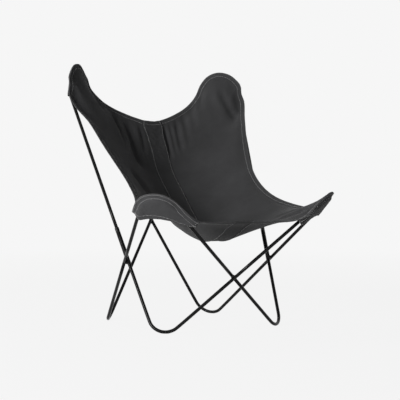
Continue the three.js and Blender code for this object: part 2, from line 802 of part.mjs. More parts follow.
function thicken(places, faces) {
  for (const [a, b, c] of faces) {
    const first = places[b].at.clone().sub(places[a].at);
    const second = places[c].at.clone().sub(places[a].at);
    const normal = first.cross(second).normalize();
    for (const index of [a, b, c]) {
      places[index].normal.add(normal);
    }
  }
  const positions = [];
  for (const side of [1, -1]) {
    for (const { at, half, normal } of places) {
      positions.push(...at.clone().addScaledVector(normal.clone().normalize(), side * half).toArray());
    }
  }
  const count = places.length;
  const triangles = [];
  const open = new Map();
  for (const [a, b, c] of faces) {
    triangles.push(a, b, c, a + count, c + count, b + count);
    for (const [from, to] of [[a, b], [b, c], [c, a]]) {
      if (!open.delete(`${to} ${from}`)) {
        open.set(`${from} ${to}`, [from, to]);
      }
    }
  }
  for (const [from, to] of open.values()) {
    triangles.push(to, from, from + count, to, from + count, to + count);
  }
  const geometry = new THREE.BufferGeometry();
  geometry.setAttribute('position', new THREE.Float32BufferAttribute(positions, 3));
  geometry.setIndex(triangles);
  return geometry;
}

const hemRows = flangeShares.slice(0, -1).map((share, row) => row);
const hemHalf = (row) => (bumpShares[row] > 0 ? canvasThickness : hemThickness) / 2;
const canvasPlace = (at) => ({ at, half: canvasThickness / 2 });

// A side panel: the hem that runs round its three outer sides, and the cloth inside it
function panelGeometry(side) {
  const sign = side === 'left' ? -1 : 1;
  const { rim, net } = halves[side];
  const seamShift = point((sign * slipClearance) / 2, 0, 0);
  const outer = rim.slice(1, -1);
  const atSeam = (place) => place === outer[0] || place === outer[outer.length - 1];
  const moved = (at, onSeam) => (onSeam ? at.clone().add(seamShift) : at);
  const hem = hemRows.map((row) => outer.map((place) => ({
    at: moved(hemRow(place, row), atSeam(place)),
    half: hemHalf(row),
  })));
  const columns = net.slice(1).map((column, index) => {
    const onSeam = index === 0;
    return column.map((at) => canvasPlace(moved(at, onSeam)));
  });
  const rimRow = [
    ...columns.map((column) => column[0]),
    ...columns[columns.length - 1].slice(1, -1),
    ...columns.map((column) => column[downSteps]).reverse(),
  ];
  const solid = clothSolid([[...hem, rimRow], columns.reverse()]);
  return facingOut(solid);
}

// The middle strip, from the back hem down over the seat to the front hem
function stripGeometry() {
  const columnOf = ({ rim, net }, index, sign) => {
    const shift = point((-sign * slipClearance) / 2, 0, 0);
    const back = rim[index];
    const front = rim[rim.length - 1 - index];
    const hem = (place) => hemRows.map((row) => ({ at: hemRow(place, row), half: hemHalf(row) }));
    const column = [...hem(back), ...net[index].map(canvasPlace), ...hem(front).reverse()];
    return column.map(({ at, half }) => ({ at: at.clone().add(shift), half }));
  };
  return facingOut(clothSolid([[
    columnOf(halves.left, 1, -1),
    columnOf(halves.left, 0, 0),
    columnOf(halves.right, 1, 1),
  ]]));
}

// The rim's place at a share of the length from one of its places to another
function rimIndexAt(rim, first, last, share) {
  const step = Math.sign(last - first);
  const lengths = [0];
  for (let index = first; index !== last; index += step) {
    lengths.push(lengths[lengths.length - 1] + rim[index].edge.distanceTo(rim[index + step].edge));
  }
  const wanted = share * lengths[lengths.length - 1];
  return first + step * lengths.findIndex((length) => length >= wanted);
}

// A horn's pocket: sewn to the sheet round the cut edge, with a hollow mouth across the horn
function pocketGeometry(side, end) {
  const { rim } = halves[side];
  const [alongShare, sideShare] = end === 'rear' ? rearPocketShares : frontPocketShares;
  const mouthHollow = end === 'rear' ? rearMouthHollow : frontMouthHollow;
  const tip = end === 'rear' ? acrossSteps : acrossSteps + downSteps;
  const otherTip = end === 'rear' ? acrossSteps + downSteps : acrossSteps;
  const middle = end === 'rear' ? 0 : rim.length - 1;
  const ends = [rimIndexAt(rim, tip, middle, alongShare), rimIndexAt(rim, tip, otherTip, sideShare)];
  const sewn = rim.slice(Math.min(...ends), Math.max(...ends) + 1);
  const { horn } = rim[tip];
  const inner = sewn.map((place) => pocketRow(place, flangeShares.length - 1));
  const start = inner[0];
  const finish = inner[inner.length - 1];
  const hollow = unit(horn.circle.centre, rim[tip].edge).multiplyScalar(2 * mouthHollow);
  const mouth = new THREE.QuadraticBezierCurve3(start, mix(start, finish, 0.5).add(hollow), finish);
  const down = horn.normal.clone().negate();
  const rows = hemRows.map((row) => sewn.map((place) => canvasPlace(pocketRow(place, row))));
  for (let step = 0; step <= pocketSteps; step += 1) {
    rows.push(inner.map((at, index) => {
      const onMouth = mouth.getPoint(index / (inner.length - 1));
      return canvasPlace(clearOfRod(mix(at, onMouth, step / pocketSteps), horn, down, facetReach));
    }));
  }
  return facingOut(clothSolid([rows]));
}

function facingOut(geometry) {
  const position = geometry.attributes.position;
  const index = geometry.index;
  let volume = 0;
  const corner = [point(0, 0, 0), point(0, 0, 0), point(0, 0, 0)];
  for (let face = 0; face < index.count; face += 3) {
    corner.forEach((at, number) => at.fromBufferAttribute(position, index.getX(face + number)));
    volume += corner[0].dot(corner[1].cross(corner[2]));
  }
  if (volume < 0) {
    geometry.setIndex([...index.array].reverse());
  }
  return geometry;
}

for (const side of ['left', 'right']) {
  addPiece(`sling_panel_${side}`, panelGeometry(side), materials.canvas);
}
addPiece('sling_middle_strip', stripGeometry(), materials.strip);
for (const end of ['rear', 'front']) {
  for (const side of ['left', 'right']) {
    addPiece(`${end}_pocket_${side}`, pocketGeometry(side, end), materials.pocket);
  }
}

// The origin is under the middle of the whole chair
chair.updateMatrixWorld(true);
const box = new THREE.Box3().setFromObject(chair);
const middle = box.getCenter(point(0, 0, 0));
for (const piece of chair.children) {
  piece.position.set(-middle.x, -middle.y, -box.min.z);
}

export default chair;
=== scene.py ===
import math

import bmesh
import bpy
from mathutils import Matrix, Vector, noise
from mathutils.bvhtree import BVHTree
from mathutils.geometry import intersect_point_line
from mathutils.kdtree import KDTree


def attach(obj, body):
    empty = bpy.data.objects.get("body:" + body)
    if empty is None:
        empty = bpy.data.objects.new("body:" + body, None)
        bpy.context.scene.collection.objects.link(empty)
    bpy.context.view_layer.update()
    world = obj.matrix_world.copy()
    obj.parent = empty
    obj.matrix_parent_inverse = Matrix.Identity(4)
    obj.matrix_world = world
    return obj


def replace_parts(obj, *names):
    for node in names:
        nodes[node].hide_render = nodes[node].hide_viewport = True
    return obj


# Butterfly sling chair: two loops of bent black steel rod, welded where they cross, and a black
# canvas sling with a pocket sewn on each corner, which hangs over the four horns of the rods.
# Lengths are in metres. +Z is up and the front faces -Y.

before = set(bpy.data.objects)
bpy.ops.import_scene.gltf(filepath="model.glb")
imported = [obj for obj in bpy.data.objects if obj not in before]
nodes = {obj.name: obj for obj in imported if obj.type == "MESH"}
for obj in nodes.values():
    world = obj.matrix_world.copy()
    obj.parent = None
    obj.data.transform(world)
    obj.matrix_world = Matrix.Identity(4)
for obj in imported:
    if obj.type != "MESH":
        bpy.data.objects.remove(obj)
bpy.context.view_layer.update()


# View: the photograph was taken from the chair's front left, level with the seat, from about
# four metres away with a long lens.
photo_turn = math.radians(-29.084)
photo_tilt = math.radians(0.832)
photo_distance = 4.1148
photo_aim = Vector((-0.0004, 0.0120, 0.422))
photo_sidestep = 0.0298
photo_lens = 108.0
photo_sensor = 36.0

away = Vector((
    math.sin(photo_turn) * math.cos(photo_tilt),
    -math.cos(photo_turn) * math.cos(photo_tilt),
    math.sin(photo_tilt),
))
rightward = Vector((math.cos(photo_turn), math.sin(photo_turn), 0.0))
camera_data = bpy.data.cameras.new("camera")
camera_data.lens = photo_lens
camera_data.sensor_width = photo_sensor
camera = bpy.data.objects.new("camera", camera_data)
camera.location = photo_aim + rightward * photo_sidestep + away * photo_distance
camera.rotation_mode = "QUATERNION"
camera.rotation_quaternion = (-away).to_track_quat("-Z", "Y")
bpy.context.scene.collection.objects.link(camera)
bpy.context.scene.camera = camera
bpy.context.scene.view_settings.view_transform = "Standard"


# Studio: a plain pale floor that fades into a backdrop of the same paper, and three soft lamps, a
# strong one at the left, a faint one in front and one above the back, as for a catalogue.
paper_grey = 0.922
paper_roughness = 0.9
near_glow_share = 0.95
near_reach = 1.5
fade_reach = 4.5
floor_half = 9.0
room_light = 0.06


def new_material(name, roughness=0.5):
    """A node material with a roughness on its main shader, its node tree and that shader."""
    material = bpy.data.materials.new(name)
    material.use_nodes = True
    shader = material.node_tree.nodes["Principled BSDF"]
    shader.inputs["Roughness"].default_value = roughness
    return material, material.node_tree, shader


def add_node(tree, kind, inputs=None, **settings):
    """A node of a material, with its own settings and the values of its open sockets."""
    made = tree.nodes.new(kind)
    for name, value in settings.items():
        setattr(made, name, value)
    for socket, value in (inputs or {}).items():
        made.inputs[socket].default_value = value
    return made


def grey(value, blue=1.0):
    """A grey, with its blue made stronger or weaker by a factor."""
    return (value, value, value * blue, 1.0)


def add_piece(name, bm, material, slot=None, smooth=True):
    """Makes a bmesh a named piece. One with a slot belongs to the chair and rides on it."""
    mesh = bpy.data.meshes.new(name)
    bm.to_mesh(mesh)
    bm.free()
    mesh.materials.append(material)
    if smooth:
        mesh.shade_smooth()
    made = bpy.data.objects.new(name, mesh)
    bpy.context.scene.collection.objects.link(made)
    if slot:
        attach(made, "root")
    return made


def seen_directly(tree):
    """Is 1 for what the lens sees, also in a mirror or a glass, and 0 for what lights the chair."""
    path = add_node(tree, "ShaderNodeLightPath")
    seen = path.outputs["Is Camera Ray"]
    for ray in ("Is Glossy Ray", "Is Transmission Ray"):
        either = add_node(tree, "ShaderNodeMath", operation="MAXIMUM")
        tree.links.new(seen, either.inputs[0])
        tree.links.new(path.outputs[ray], either.inputs[1])
        seen = either.outputs[0]
    return seen


def paper_material():
    """Matt white paper that keeps a faint shadow near the chair and is evenly bright beyond."""
    material, tree, shader = new_material("studio_paper", paper_roughness)
    shader.inputs["Base Color"].default_value = grey(paper_grey)
    where = add_node(tree, "ShaderNodeTexCoord")
    distance = add_node(tree, "ShaderNodeVectorMath", operation="LENGTH")
    glow = add_node(tree, "ShaderNodeEmission", {"Color": grey(paper_grey)})
    fade = add_node(tree, "ShaderNodeMapRange", {
        "From Min": near_reach, "From Max": fade_reach, "To Min": near_glow_share, "To Max": 1.0,
    })
    share = add_node(tree, "ShaderNodeMath", operation="MULTIPLY")
    blend = add_node(tree, "ShaderNodeMixShader")
    tree.links.new(where.outputs["Object"], distance.inputs[0])
    tree.links.new(distance.outputs["Value"], fade.inputs["Value"])
    tree.links.new(fade.outputs[0], share.inputs[0])
    tree.links.new(seen_directly(tree), share.inputs[1])
    tree.links.new(share.outputs[0], blend.inputs["Fac"])
    tree.links.new(shader.outputs[0], blend.inputs[1])
    tree.links.new(glow.outputs[0], blend.inputs[2])
    tree.links.new(blend.outputs[0], tree.nodes["Material Output"].inputs["Surface"])
    return material


bm = bmesh.new()
bmesh.ops.create_grid(bm, x_segments=2, y_segments=2, size=floor_half)
add_piece("floor", bm, paper_material(), smooth=False)

world = bpy.data.worlds.new("studio")
world.use_nodes = True
bpy.context.scene.world = world
backdrop = world.node_tree.nodes["Background"]
backdrop.inputs["Color"].default_value = grey(paper_grey)
brightness = add_node(world.node_tree, "ShaderNodeMapRange", {"To Min": room_light, "To Max": 1.0})
world.node_tree.links.new(seen_directly(world.node_tree), brightness.inputs["Value"])
world.node_tree.links.new(brightness.outputs[0], backdrop.inputs["Strength"])


def add_lamp(name, place, aim, size, power):
    """A square soft lamp that faces a point of the chair."""
    data = bpy.data.lights.new(name, "AREA")
    data.size = size
    data.energy = power
    made = bpy.data.objects.new(name, data)
    made.location = place
    made.rotation_mode = "QUATERNION"
    made.rotation_quaternion = (Vector(aim) - Vector(place)).to_track_quat("-Z", "Y")
    bpy.context.scene.collection.objects.link(made)


add_lamp("key_lamp", place=(-4.2, -1.5, 1.4), aim=(0.0, 0.0, 0.45), size=1.4, power=190.0)
add_lamp("front_lamp", place=(-1.9, -3.8, 0.7), aim=(0.0, 0.0, 0.4), size=1.8, power=9.0)
add_lamp("top_lamp", place=(-1.3, 2.5, 2.9), aim=(0.0, 0.0, 0.5), size=1.6, power=34.0)


# Steel rods: round mild steel bar, bent cold to shape and powder-coated satin black. Eight
# lengths meet end to end, inside a sleeve or behind the weld of a crossing.
millimetre = 0.001
coat_black = 0.003
coat_dusty = 0.008
coat_shiny = 0.15
coat_dull = 0.3
coat_mirror = 0.12
same_place = 0.02 * millimetre
end_crease_degrees = 50.0
smoothing_loss = 0.26 * millimetre
steel_levels = 2


def coat_material():
    """Satin black powder coat: faint orange peel, and a little dust and rubbing."""
    material, tree, shader = new_material("black_powder_coat")
    where = add_node(tree, "ShaderNodeTexCoord")
    peel = add_node(tree, "ShaderNodeTexNoise", {"Scale": 900.0, "Detail": 2.0})
    rubbing = add_node(tree, "ShaderNodeTexNoise", {
        "Scale": 14.0, "Detail": 6.0, "Roughness": 0.7,
    })
    tone = add_node(tree, "ShaderNodeValToRGB")
    clean, dusty = tone.color_ramp.elements
    clean.position, clean.color = 0.45, grey(coat_black)
    dusty.position, dusty.color = 0.8, grey(coat_dusty)
    gloss = add_node(tree, "ShaderNodeMapRange", {"To Min": coat_shiny, "To Max": coat_dull})
    bump = add_node(tree, "ShaderNodeBump", {"Strength": 0.12, "Distance": 0.2 * millimetre})
    for source in (peel, rubbing):
        tree.links.new(where.outputs["Object"], source.inputs["Vector"])
    tree.links.new(rubbing.outputs["Fac"], tone.inputs["Fac"])
    tree.links.new(rubbing.outputs["Fac"], gloss.inputs["Value"])
    tree.links.new(peel.outputs["Fac"], bump.inputs["Height"])
    tree.links.new(tone.outputs["Color"], shader.inputs["Base Color"])
    tree.links.new(gloss.outputs[0], shader.inputs["Roughness"])
    tree.links.new(bump.outputs[0], shader.inputs["Normal"])
    shader.inputs["Specular IOR Level"].default_value = coat_mirror
    return material


def merged(name):
    """A copy of a CAD node's mesh with its loose triangles joined up and paired."""
    bm = bmesh.new()
    bm.from_mesh(nodes[name].data)
    bmesh.ops.remove_doubles(bm, verts=bm.verts, dist=same_place)
    bmesh.ops.join_triangles(
        bm, faces=bm.faces, angle_face_threshold=math.pi, angle_shape_threshold=math.pi
    )
    return bm


def subdivided(bm, levels):
    """The smooth form of a bmesh, which keeps its creases and the corners of its open edges."""
    mesh = bpy.data.meshes.new("rough")
    bm.to_mesh(mesh)
    bm.free()
    rough = bpy.data.objects.new("rough", mesh)
    bpy.context.scene.collection.objects.link(rough)
    finer = rough.modifiers.new("finer", "SUBSURF")
    finer.levels = levels
    finer.render_levels = levels
    finer.boundary_smooth = "PRESERVE_CORNERS"
    shaped = rough.evaluated_get(bpy.context.evaluated_depsgraph_get())
    fine = bmesh.new()
    fine.from_mesh(shaped.to_mesh())
    shaped.to_mesh_clear()
    bpy.data.objects.remove(rough)
    bpy.data.meshes.remove(mesh)
    return fine


def rounded(name):
    """A steel node's shape with its facets smoothed and its sharp corners kept."""
    bm = merged(name)
    crease = bm.edges.layers.float.new("crease_edge")
    for edge in bm.edges:
        if edge.calc_face_angle(0.0) > math.radians(end_crease_degrees):
            edge[crease] = 1.0
    fine = subdivided(bm, steel_levels)
    fine.normal_update()
    return fine


black_coat = coat_material()
rod_names = [
    f"{part}_rod_{side}"
    for part in ("rear_horn", "rear_leg", "front_horn", "front_leg")
    for side in ("left", "right")
]
for name in rod_names:
    bm = rounded(name)
    for vert in bm.verts:
        vert.co += vert.normal * smoothing_loss
        vert.co.z = max(vert.co.z, 0.0)
    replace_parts(add_piece(name + "_coated", bm, black_coat, "frame_black"), name)


# Sleeves and welds: a tube hides the joint in each rear rod, and a bead of weld, dressed and
# coated with the frame, joins the rods where they cross. A plate stiffens the rear crossing.
weld_ripple = 0.35 * millimetre
weld_pitch = 1.6 * millimetre

for name in ("rod_sleeve_left", "rod_sleeve_right", "back_gusset_plate"):
    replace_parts(add_piece(name + "_coated", rounded(name), black_coat, "frame_black"), name)

for name in ("weld_front_crossing", "weld_side_crossing_left", "weld_side_crossing_right"):
    bm = rounded(name)
    for vert in bm.verts:
        ripple = math.sin(vert.co.z * math.tau / weld_pitch)
        vert.co += vert.normal * weld_ripple * ripple / 2
    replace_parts(add_piece(name + "_bead", bm, black_coat, "frame_black"), name)


# Sling: two side panels of black cotton duck, about 1.4 mm thick, cut to shape and turned
# under into a 16 mm hem along the three outer edges. The hem's stitches draw it in a little.
canvas_thickness = 1.4 * millimetre
hem_thickness = 2.6 * millimetre
hem_width = 16 * millimetre
hem_step = 1.5 * millimetre
row_width = 1.6 * millimetre
strip_half = 30 * millimetre
cloth_levels = 3
layer_bend_degrees = 62.0
canvas_black = 0.037
canvas_worn = 0.08
canvas_roughness = 0.9
canvas_sheen = 0.08
canvas_sheen_spread = 0.5
canvas_mirror = 0.2
dark_dye_share = 0.78
pale_dye_share = 1.25


def canvas_material(name, tone):
    """Black cotton duck: a plain weave, uneven dye, slubs, a dry sheen and paler rubbed edges."""
    material, tree, shader = new_material(name, canvas_roughness)
    lay = add_node(tree, "ShaderNodeAttribute", attribute_name="lay")
    worn = add_node(tree, "ShaderNodeAttribute", attribute_name="worn")
    yarns = {"Scale": 400.0, "Distortion": 0.5, "Detail": 1.0}
    warp = add_node(tree, "ShaderNodeTexWave", yarns, bands_direction="X")
    weft = add_node(tree, "ShaderNodeTexWave", yarns, bands_direction="Y")
    weave = add_node(tree, "ShaderNodeMath", operation="MULTIPLY")
    dye = add_node(tree, "ShaderNodeTexNoise", {"Scale": 7.0, "Detail": 6.0, "Roughness": 0.62})
    slub = add_node(tree, "ShaderNodeTexNoise", {
        "Scale": 220.0, "Detail": 3.0, "Roughness": 0.6,
    })
    for source in (warp, weft, dye, slub):
        tree.links.new(lay.outputs["Vector"], source.inputs["Vector"])
    shades = add_node(tree, "ShaderNodeValToRGB")
    dark, pale = shades.color_ramp.elements
    dark.position, dark.color = 0.3, grey(tone * dark_dye_share, blue=1.03)
    pale.position, pale.color = 0.7, grey(tone * pale_dye_share, blue=1.04)
    rubbed = add_node(tree, "ShaderNodeMixRGB", {"Color2": grey(canvas_worn, blue=1.02)})
    relief = add_node(tree, "ShaderNodeMath", operation="ADD")
    bump = add_node(tree, "ShaderNodeBump", {"Strength": 0.3, "Distance": 0.4 * millimetre})
    tree.links.new(warp.outputs["Fac"], weave.inputs[0])
    tree.links.new(weft.outputs["Fac"], weave.inputs[1])
    tree.links.new(dye.outputs["Fac"], shades.inputs["Fac"])
    tree.links.new(shades.outputs["Color"], rubbed.inputs["Color1"])
    tree.links.new(worn.outputs["Fac"], rubbed.inputs["Fac"])
    tree.links.new(rubbed.outputs["Color"], shader.inputs["Base Color"])
    tree.links.new(weave.outputs[0], relief.inputs[0])
    tree.links.new(slub.outputs["Fac"], relief.inputs[1])
    tree.links.new(relief.outputs[0], bump.inputs["Height"])
    tree.links.new(bump.outputs[0], shader.inputs["Normal"])
    shader.inputs["Sheen Weight"].default_value = canvas_sheen
    shader.inputs["Sheen Roughness"].default_value = canvas_sheen_spread
    shader.inputs["Specular IOR Level"].default_value = canvas_mirror
    return material


def one_layer(name, towards):
    """The face of a cloth node that looks a given way, without the node's rim and other face."""
    bm = merged(name)
    towards = Vector(towards)
    seed = max(bm.faces, key=lambda face: face.normal.dot(towards) * face.calc_area())
    kept = {seed}
    newest = [seed]
    while newest:
        face = newest.pop()
        for edge in face.edges:
            for beside in edge.link_faces:
                turn = beside.normal.angle(face.normal)
                if beside not in kept and turn < math.radians(layer_bend_degrees):
                    kept.add(beside)
                    newest.append(beside)
    bmesh.ops.delete(bm, geom=[face for face in bm.faces if face not in kept], context="FACES")
    return bm


def ease(share):
    """Runs from 0 to 1 with soft ends."""
    share = min(max(share, 0.0), 1.0)
    return share * share * (3 - 2 * share)


def peak(distance, width):
    """Is 1 on a line and fades to nothing beside it."""
    return math.exp(-(distance / width) ** 2)


# small pulls that settle the edge of the cloth at the horns: each a place on the cloth, how far
# it is moved and how far the pull reaches, in millimetres
settling = [
    ((339, 255, 812), (12.0, -8.0, 4.6), 26),
    ((346, 224, 754), (-4.6, 3.0, -1.6), 22),
    ((-338, 258, 813), (-12.0, -8.0, 4.6), 28),
    ((-346, 228, 754), (4.6, 3.0, -1.6), 22),
    ((-222, 385, 830), (15.0, 3.0, 6.0), 30),
    ((292, -382, 442), (2.0, -1.5, 7.5), 28),
]


def settled(bm):
    """Moves a panel by the small pulls at its horns."""
    for place, move, reach in settling:
        for vert in bm.verts:
            share = peak((vert.co - Vector(place) * millimetre).length, reach * millimetre)
            vert.co += Vector(move) * millimetre * share
    return bm


def open_edge(bm):
    """The vertices along the open edge of a one-layer cloth, in order round it."""
    edge = next(edge for edge in bm.edges if edge.is_boundary)
    loop = [edge.verts[0]]
    vert = edge.verts[1]
    while vert is not loop[0]:
        loop.append(vert)
        edge = next(
            onward for onward in vert.link_edges if onward.is_boundary and onward is not edge
        )
        vert = edge.other_vert(vert)
    return loop


def stretches(loop, wanted):
    """The runs of an edge that a test picks out, each as a list of places."""
    start = next((number for number, vert in enumerate(loop) if not wanted(vert.co)), 0)
    runs = [[]]
    for vert in loop[start:] + loop[:start]:
        if wanted(vert.co):
            runs[-1].append(vert.co.copy())
        elif runs[-1]:
            runs.append([])
    return [run for run in runs if len(run) > 1]


def nearness(runs, spacing=0.5 * millimetre):
    """A search tree of points close together along some lines."""
    filled = []
    for run in runs:
        for first, second in zip(run, run[1:]):
            steps = max(1, math.ceil((second - first).length / spacing))
            filled += [first.lerp(second, step / steps) for step in range(steps)]
    tree = KDTree(len(filled))
    for number, place in enumerate(filled):
        tree.insert(place, number)
    tree.balance()
    return tree


# where each crease of the sling runs, as places on the cloth, with its width and its depth, in
# millimetres
creases = [
    ([(46, 306, 692), (43, 268, 629), (40, 231, 563)], 13, 9.0),
    ([(-103, 323, 715), (-102, 251, 619), (-105, 174, 526)], 26, 15.0),
    ([(-52, 306, 696), (-58, 262, 630), (-66, 200, 556)], 13, 9.0),
    ([(-150, 330, 740), (-146, 280, 670), (-150, 230, 600)], 17, 9.0),
    ([(-200, 350, 790), (-205, 310, 720), (-215, 260, 640)], 20, 8.0),
    ([(72, 310, 700), (66, 272, 640), (60, 230, 575)], 10, 5.0),
    ([(104, 320, 714), (92, 280, 650), (84, 236, 585)], 15, 7.0),
    ([(140, 332, 736), (130, 292, 672), (122, 250, 600)], 17, 6.0),
    ([(180, 345, 770), (172, 305, 700), (166, 262, 630)], 20, 5.0),
    ([(-190, 120, 540), (-160, 60, 470), (-130, 0, 410)], 34, 9.0),
    ([(-120, 60, 430), (-95, 0, 372), (-75, -70, 325)], 26, 5.0),
    ([(268, 290, 838), (281, 259, 780), (296, 204, 700)], 18, 6.0),
    ([(295, 285, 800), (300, 245, 740), (302, 190, 660)], 15, 3.5),
    ([(236, 330, 826), (246, 280, 744), (252, 230, 670)], 24, 4.0),
    ([(-281, -365, 414), (-251, -361, 395), (-227, -362, 373)], 13, 4.5),
    ([(-208, -373, 368), (-253, -365, 399), (-290, -362, 420)], 8, 3.5),
    ([(-205, -368, 362), (-253, -352, 382), (-300, -326, 390)], 9, 3.5),
    ([(-212, -360, 352), (-250, -338, 364), (-285, -310, 372)], 9, 3.0),
    ([(210, -372, 372), (253, -364, 401), (288, -362, 420)], 9, 3.0),
    ([(208, -366, 364), (253, -352, 384), (296, -328, 392)], 10, 3.0),
    ([(-250, -330, 400), (-215, -310, 372), (-180, -290, 350)], 18, 4.5),
    ([(240, -340, 396), (206, -306, 368), (168, -270, 345)], 20, 6.0),
    ([(262, -290, 400), (222, -262, 372), (180, -235, 350)], 18, 5.0),
]
crease_lines = [
    ([Vector(place) * millimetre for place in line], width * millimetre, depth * millimetre)
    for line, width, depth in creases
]
crease_reach = 300 * millimetre
crease_end_slope = 3
crease_end_share = 0.15
slack_wave = 1.6 * millimetre
slack_scale = 9.0
pucker = 0.45 * millimetre
pucker_scale = 85.0
stitch_sink = 0.5 * millimetre
fade_from_edge = 30 * millimetre
rub_scale = 31.0
rub_mean = 0.7
rub_swing = 0.6
weave_from_y = 0.42
weave_from_z = 0.75


def crease_depth(place):
    """How far the creases draw the cloth back at a place: a valley with a soft ridge each side."""
    total = 0.0
    for line, width, depth in crease_lines:
        if (place - line[1]).length > crease_reach:
            continue
        best = None
        for number, (first, second) in enumerate(zip(line, line[1:])):
            share = min(max(intersect_point_line(place, first, second)[1], 0.0), 1.0)
            gap = (first.lerp(second, share) - place).length
            if best is None or gap < best[0]:
                best = (gap, (number + share) / (len(line) - 1))
        gap, along = best
        fade = ease(crease_end_slope * min(along, 1 - along) + crease_end_share)
        total += depth * fade * (1 - (gap / width) ** 2) * peak(gap, width)
    return total


def dress(bm, shape):
    """Moves a cloth's vertices and writes what its thickness and material read. The shape tells
    for a vertex how to move it, how worn it is, and how far it lies in a hem, as a share. The weave
    runs across the chair and away from a line behind the top of the back."""
    lay = bm.verts.layers.float_vector.new("lay")
    worn = bm.verts.layers.float.new("worn")
    group = bm.verts.layers.deform.verify()
    single = canvas_thickness / hem_thickness
    bm.normal_update()
    moves = []
    for vert in bm.verts:
        move, wear, in_hem = shape(vert)
        rub = rub_mean + rub_swing * noise.noise(vert.co * rub_scale)
        moves.append((vert, move))
        down = math.hypot(vert.co.y - weave_from_y, vert.co.z - weave_from_z)
        vert[lay] = Vector((vert.co.x, down, 0.0))
        vert[worn] = min(wear * rub, 1.0)
        vert[group][0] = single + (1 - single) * in_hem
    for vert, move in moves:
        vert.co += move


def add_cloth(name, node_name, bm, material):
    """Makes a dressed layer a sheet of cloth, with its thickness below the side that shows."""
    area = sum(face.calc_area() for face in bm.faces)
    made = add_piece(name, bm, material, "canvas_black")
    made.vertex_groups.new(name="thickness")
    solid = made.modifiers.new("thickness", "SOLIDIFY")
    solid.thickness = hem_thickness
    solid.offset = -1.0
    solid.vertex_group = "thickness"
    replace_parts(made, node_name)


canvas = canvas_material("black_canvas", canvas_black)
sitter = (0.0, -0.6, 1.0)
rim_crease_share = 0.15
cut_wear = 0.85
cut_wear_width = 2.5 * millimetre
hem_wear = 0.2
cloths = {}

for side in ("left", "right"):
    bm = subdivided(settled(one_layer("sling_panel_" + side, sitter)), cloth_levels)
    loop = open_edge(bm)
    outer = max(stretches(loop, lambda place: abs(place.x) > strip_half + hem_step), key=len)
    seam = max(stretches(loop, lambda place: abs(place.x) <= strip_half + hem_step), key=len)
    outer_tree = nearness([outer])
    seam_tree = nearness([seam])

    def panel_shape(vert):
        inside = outer_tree.find(vert.co)[2]
        in_hem = 1 - ease((inside - hem_width) / hem_step)
        free = ease((inside - hem_width) / fade_from_edge)
        free *= ease(seam_tree.find(vert.co)[2] / fade_from_edge)
        push = -crease_depth(vert.co) * ease(inside / hem_width + rim_crease_share)
        push += slack_wave * noise.noise(vert.co * slack_scale) * free
        push += pucker * noise.noise(vert.co * pucker_scale) * (1 - ease(inside / hem_width - 1))
        push -= stitch_sink * peak(inside - hem_width + millimetre, row_width)
        wear = cut_wear * peak(inside, cut_wear_width) + hem_wear * in_hem
        return vert.normal * push, wear, in_hem

    dress(bm, panel_shape)
    cloths["sling_panel_" + side] = (BVHTree.FromBMesh(bm), outer, seam)
    add_cloth(f"sling_panel_{side}_canvas", f"sling_panel_{side}", bm, canvas)


# Middle strip: a straight band of the same duck, lapped over the inner edge of both panels and
# sewn down with a row of stitches along each side.
strip_lap = 4 * millimetre
strip_lift = 1.6 * millimetre
crinkle = 2.6 * millimetre
crinkle_scale = 75.0
crinkled_above = 0.53
crinkle_fade = 80 * millimetre
crinkle_power = 4
lap_power = 6
side_wear_power = 8
side_wear = 0.25
end_wear = 0.6
end_wear_width = 3 * millimetre
# Painted shade: the strip uses a copy of the same duck painted darker, standing for the shade that
# lies in its crinkled top.
strip_painted_shade_share = 0.86
strip_canvas = canvas_material("strip_canvas", canvas_black * strip_painted_shade_share)

bm = subdivided(one_layer("sling_middle_strip", sitter), cloth_levels)
strip_ends = stretches(open_edge(bm), lambda place: abs(place.x) < strip_half - hem_step)
end_tree = nearness(strip_ends)


def strip_shape(vert):
    inside = end_tree.find(vert.co)[2]
    in_hem = 1 - ease((inside - hem_width) / hem_step)
    across = min(abs(vert.co.x) / strip_half, 1.0)
    gather = ease((vert.co.z - crinkled_above) / crinkle_fade) * (1 - across ** crinkle_power)
    push = strip_lift - crease_depth(vert.co)
    push += crinkle * noise.noise(vert.co * crinkle_scale) * gather
    push -= stitch_sink * peak(inside - hem_width + millimetre, row_width)
    lap = Vector((math.copysign(strip_lap * across ** lap_power, vert.co.x), 0.0, 0.0))
    wear = end_wear * peak(inside, end_wear_width) + side_wear * across ** side_wear_power
    return vert.normal * push + lap, wear, in_hem


dress(bm, strip_shape)
strip_surface = BVHTree.FromBMesh(bm)
strip_sides = stretches(open_edge(bm), lambda place: abs(place.x) > strip_half + strip_lap / 2)
add_cloth("sling_middle_strip_canvas", "sling_middle_strip", bm, strip_canvas)


# Corner pockets: a piece of the same duck is sewn under each corner of the sling, along the
# cut edge, and the rod's horn slips in through its hemmed mouth.
pocket_reach = 36 * millimetre
pocket_under_hem = hem_thickness + canvas_thickness + 0.1 * millimetre
over_rod = canvas_thickness + 0.3 * millimetre
mouth_hem = 9 * millimetre
mouth_sag = {"rear": 0.0, "front": 8 * millimetre}
mouth_sag_reach = 26 * millimetre
pocket_slack = 0.8 * millimetre
pocket_slack_scale = 22.0
pocket_cut_wear = 0.8
mouth_wear = 0.5
mouth_wear_width = 2 * millimetre
drawn_share = {"rear": 0.0, "front": 0.95}
drawn_reach = 68 * millimetre
corner_window = 3
corner_spacing = 0.1
# Painted light: the four pockets use a copy of the same duck painted a quarter paler, standing for
# the key lamp's light on the front-left pocket that faces it.
pocket_painted_light_share = 1.25
pocket_canvas_painted_light = canvas_material("pocket_canvas_painted_light", canvas_black * pocket_painted_light_share)
faces_out = {"rear": (0.0, 1.0, -0.15), "front": (0.0, -0.5, -1.0)}
sling_rim = nearness([cloths["sling_panel_left"][1], cloths["sling_panel_right"][1]])


def rim_distance(run):
    """How far an edge lies from the rim of the sling, on average."""
    return sum(sling_rim.find(place)[2] for place in run) / len(run)


